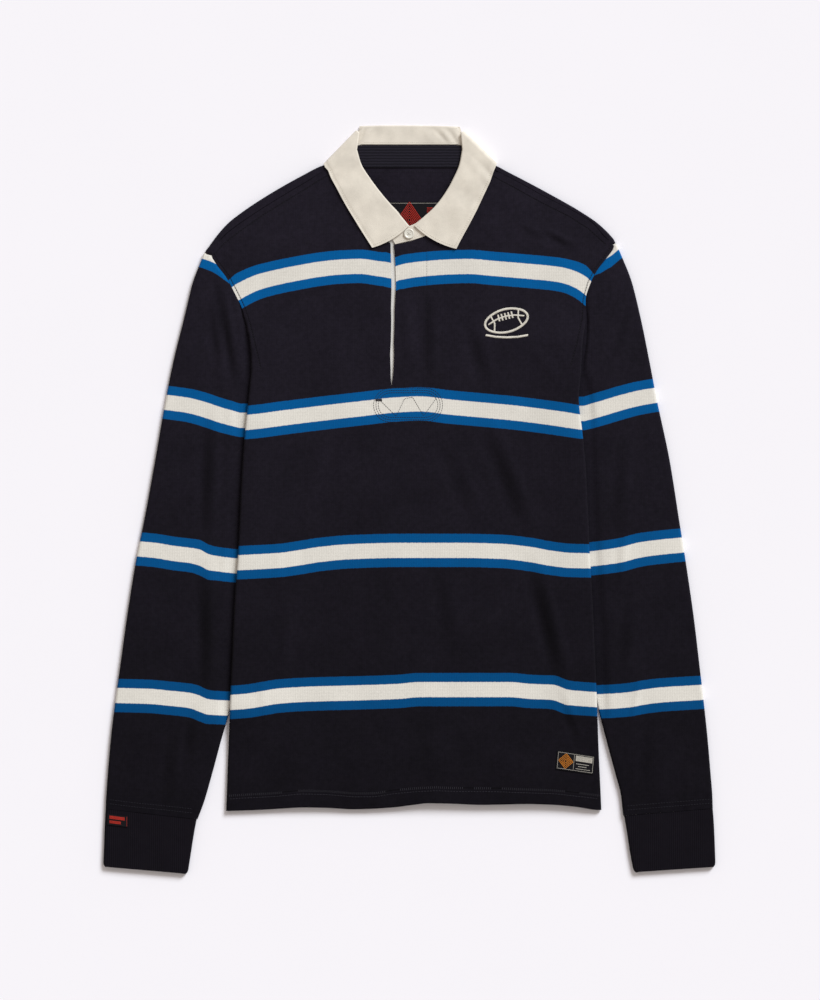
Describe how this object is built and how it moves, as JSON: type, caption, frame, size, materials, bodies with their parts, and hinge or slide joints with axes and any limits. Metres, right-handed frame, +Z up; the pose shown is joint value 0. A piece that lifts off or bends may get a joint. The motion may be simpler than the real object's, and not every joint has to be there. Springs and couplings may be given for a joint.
{
  "type": "rugby shirt",
  "caption": "Long-sleeved rugby shirt laid flat, with a contrast collar, a short open placket, chest-width stripes and cuffed sleeves.",
  "frame": {"origin": "middle of the footprint, on the surface that the shirt lies on", "axes": "+Y from the hem to the collar, +Z up off the surface out of the shirt's front, +X to the wearer's left side"},
  "size_m": [0.673, 0.8154, 0.0093],
  "materials": {
    "navy_jersey": "heavy brushed cotton jersey, knitted stripes",
    "cuff_rib": "fine navy rib knit",
    "ivory_twill": "washed cotton twill",
    "neck_tape": "ribbed cotton tape",
    "woven_label": "woven label",
    "pearl_button": "milky shirt button"
  },
  "bodies": {
    "root": {"front": "navy_jersey", "back": "navy_jersey", "sleeve_left": "navy_jersey", "sleeve_right": "navy_jersey", "cuff_left": "cuff_rib", "cuff_right": "cuff_rib", "collar": "ivory_twill", "collar_stand": "ivory_twill", "placket_under": "ivory_twill", "neck_tape": "neck_tape", "neck_label": "woven_label", "hem_label": "woven_label", "cuff_label": "woven_label", "collar_button": "pearl_button"}
  },
  "joints": []
}
